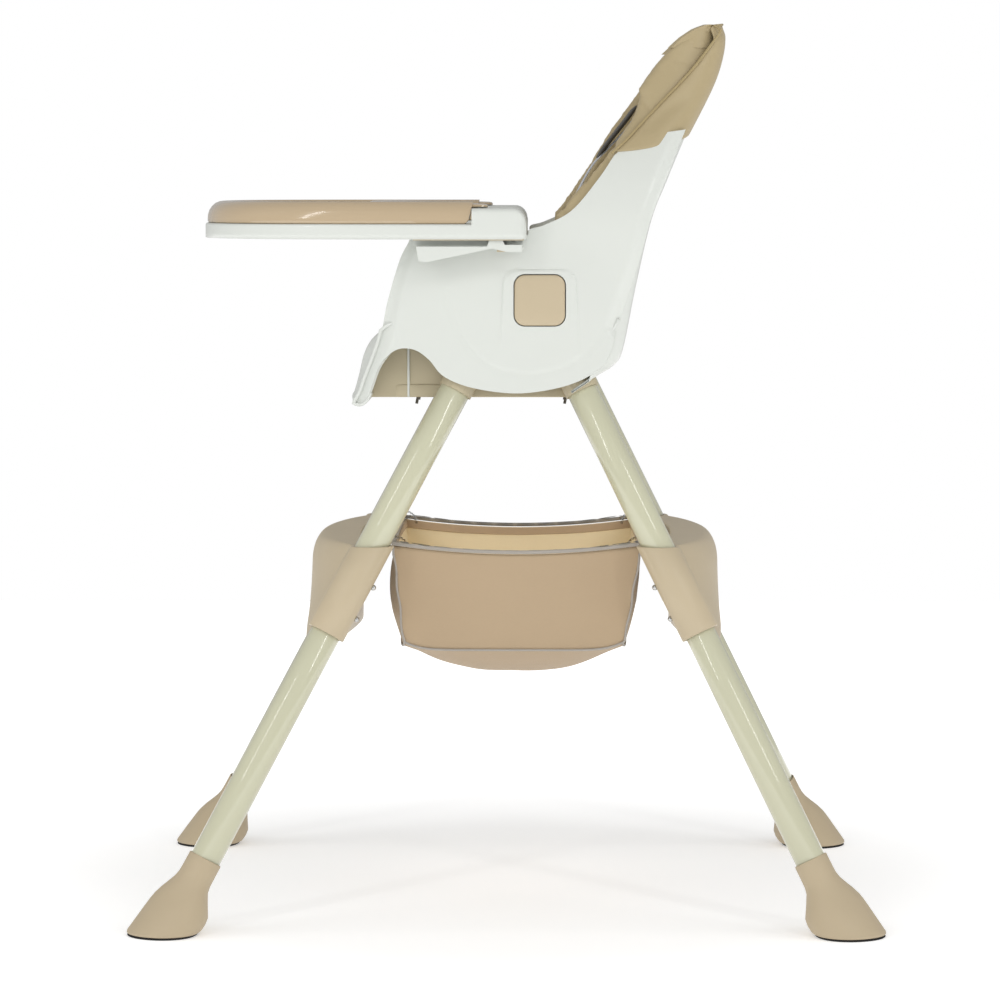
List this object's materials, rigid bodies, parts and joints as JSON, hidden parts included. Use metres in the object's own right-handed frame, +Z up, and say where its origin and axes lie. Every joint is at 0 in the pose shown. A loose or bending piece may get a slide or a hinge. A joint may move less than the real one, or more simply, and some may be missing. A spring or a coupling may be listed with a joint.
{
  "type": "baby high chair",
  "caption": "Baby high chair: moulded bucket seat with soft liner and harness on splayed tube legs, with a sliding tray, a lift-off tray insert and a fabric basket.",
  "frame": {"origin": "on the floor, under the middle of the overall box", "axes": "+Z up; the child faces -Y; +X is the child's left, the side the picture shows"},
  "size_m": [0.6462, 0.849, 1.02],
  "materials": {
    "white_plastic": "moulded off-white polypropylene, soft gloss",
    "tan_plastic": "moulded beige plastic, satin",
    "base_plastic": "moulded darker beige plastic, matt",
    "insert_plastic": "glossy beige plastic",
    "leg_tube": "powder coated steel tube, pale greenish cream, gloss",
    "foot_plastic": "moulded beige plastic, matt",
    "sole_rubber": "black anti-slip rubber",
    "bright_steel": "bright plated steel",
    "dark_screw": "dark zinc plated steel",
    "soft_leather": "khaki beige artificial leather over foam",
    "basket_fabric": "beige woven fabric",
    "piping": "grey piping over a steel wire",
    "webbing": "light grey woven webbing",
    "dark_pad": "dark grey padded cloth",
    "buckle_plastic": "dark grey plastic"
  },
  "bodies": {
    "chair": {"upper_leg_front_left": "leg_tube", "lower_leg_front_left": "leg_tube", "foot_front_left": "foot_plastic", "foot_pad_front_left": "sole_rubber", "basket_hook_front_left": "bright_steel", "base_screw_front_left": "dark_screw", "upper_leg_front_right": "leg_tube", "lower_leg_front_right": "leg_tube", "foot_front_right": "foot_plastic", "foot_pad_front_right": "sole_rubber", "basket_hook_front_right": "bright_steel", "base_screw_front_right": "dark_screw", "upper_leg_rear_left": "leg_tube", "lower_leg_rear_left": "leg_tube", "foot_rear_left": "foot_plastic", "foot_pad_rear_left": "sole_rubber", "basket_hook_rear_left": "bright_steel", "base_screw_rear_left": "dark_screw", "upper_leg_rear_right": "leg_tube", "lower_leg_rear_right": "leg_tube", "foot_rear_right": "foot_plastic", "foot_pad_rear_right": "sole_rubber", "basket_hook_rear_right": "bright_steel", "base_screw_rear_right": "dark_screw", "front_ring_bracket": "tan_plastic", "rear_ring_bracket": "tan_plastic", "seat_shell": "white_plastic", "seat_base": "base_plastic", "button_spring_left": "bright_steel", "shoulder_strap_left": "webbing", "waist_strap_left": "webbing", "shoulder_pad_left": "dark_pad", "button_spring_right": "bright_steel", "shoulder_strap_right": "webbing", "waist_strap_right": "webbing", "shoulder_pad_right": "dark_pad", "crotch_strap": "webbing", "harness_buckle": "buckle_plastic", "seat_cushion": "soft_leather", "back_cushion": "soft_leather", "headrest_hood": "soft_leather", "basket": "basket_fabric", "basket_rim": "piping"},
    "tray": {"tray_base": "white_plastic", "tray_rail_left": "white_plastic", "tray_rail_right": "white_plastic"},
    "insert": {"tray_insert": "insert_plastic"},
    "lever_left": {"release_lever_left": "tan_plastic"},
    "button_left": {"side_button_left": "tan_plastic"},
    "lever_right": {"release_lever_right": "tan_plastic"},
    "button_right": {"side_button_right": "tan_plastic"},
    "upper_pin_front_left": {"upper_pin_front_left": "bright_steel"},
    "lower_pin_front_left": {"lower_pin_front_left": "bright_steel"},
    "upper_pin_front_right": {"upper_pin_front_right": "bright_steel"},
    "lower_pin_front_right": {"lower_pin_front_right": "bright_steel"},
    "upper_pin_rear_left": {"upper_pin_rear_left": "bright_steel"},
    "lower_pin_rear_left": {"lower_pin_rear_left": "bright_steel"},
    "upper_pin_rear_right": {"upper_pin_rear_right": "bright_steel"},
    "lower_pin_rear_right": {"lower_pin_rear_right": "bright_steel"},
    "buckle_button": {"buckle_button": "buckle_plastic"}
  },
  "joints": [
    {"name": "tray_slide", "type": "slide", "parent": "chair", "child": "tray", "axis": [0, -1, 0], "range_m": [0, 0.14]},
    {"name": "insert_lift", "type": "slide", "parent": "tray", "child": "insert", "axis": [0, 0, 1], "range_m": [0, 0.06]},
    {"name": "lever_left_squeeze", "type": "hinge", "parent": "tray", "child": "lever_left", "pos_m": [0.2245, -0.012, 0.779], "axis": [-1, 0, 0], "range_deg": [0, 10], "stiffness_Nm_per_rad": 3, "springref_deg": -5.73},
    {"name": "button_left_press", "type": "slide", "parent": "chair", "child": "button_left", "axis": [-1, 0, 0], "range_m": [0, 0.004], "stiffness_N_per_m": 1500, "springref_m": -0.001},
    {"name": "lever_right_squeeze", "type": "hinge", "parent": "tray", "child": "lever_right", "pos_m": [-0.2245, -0.012, 0.779], "axis": [-1, 0, 0], "range_deg": [0, 10], "stiffness_Nm_per_rad": 3, "springref_deg": -5.73},
    {"name": "button_right_press", "type": "slide", "parent": "chair", "child": "button_right", "axis": [1, 0, 0], "range_m": [0, 0.004], "stiffness_N_per_m": 1500, "springref_m": -0.001},
    {"name": "upper_pin_front_left_press", "type": "slide", "parent": "chair", "child": "upper_pin_front_left", "axis": [-0.0929, -0.8857, 0.4549], "range_m": [0, 0.005], "stiffness_N_per_m": 1500, "springref_m": -0.001},
    {"name": "lower_pin_front_left_press", "type": "slide", "parent": "chair", "child": "lower_pin_front_left", "axis": [-0.0929, -0.8857, 0.4549], "range_m": [0, 0.005], "stiffness_N_per_m": 1500, "springref_m": -0.001},
    {"name": "upper_pin_front_right_press", "type": "slide", "parent": "chair", "child": "upper_pin_front_right", "axis": [0.0929, -0.8857, 0.4549], "range_m": [0, 0.005], "stiffness_N_per_m": 1500, "springref_m": -0.001},
    {"name": "lower_pin_front_right_press", "type": "slide", "parent": "chair", "child": "lower_pin_front_right", "axis": [0.0929, -0.8857, 0.4549], "range_m": [0, 0.005], "stiffness_N_per_m": 1500, "springref_m": -0.001},
    {"name": "upper_pin_rear_left_press", "type": "slide", "parent": "chair", "child": "upper_pin_rear_left", "axis": [-0.0868, 0.9009, 0.4252], "range_m": [0, 0.005], "stiffness_N_per_m": 1500, "springref_m": -0.001},
    {"name": "lower_pin_rear_left_press", "type": "slide", "parent": "chair", "child": "lower_pin_rear_left", "axis": [-0.0868, 0.9009, 0.4252], "range_m": [0, 0.005], "stiffness_N_per_m": 1500, "springref_m": -0.001},
    {"name": "upper_pin_rear_right_press", "type": "slide", "parent": "chair", "child": "upper_pin_rear_right", "axis": [0.0868, 0.9009, 0.4252], "range_m": [0, 0.005], "stiffness_N_per_m": 1500, "springref_m": -0.001},
    {"name": "lower_pin_rear_right_press", "type": "slide", "parent": "chair", "child": "lower_pin_rear_right", "axis": [0.0868, 0.9009, 0.4252], "range_m": [0, 0.005], "stiffness_N_per_m": 1500, "springref_m": -0.001},
    {"name": "buckle_press", "type": "slide", "parent": "chair", "child": "buckle_button", "axis": [0, 1, 0], "range_m": [0, 0.003], "stiffness_N_per_m": 1500, "springref_m": -0.001}
  ]
}
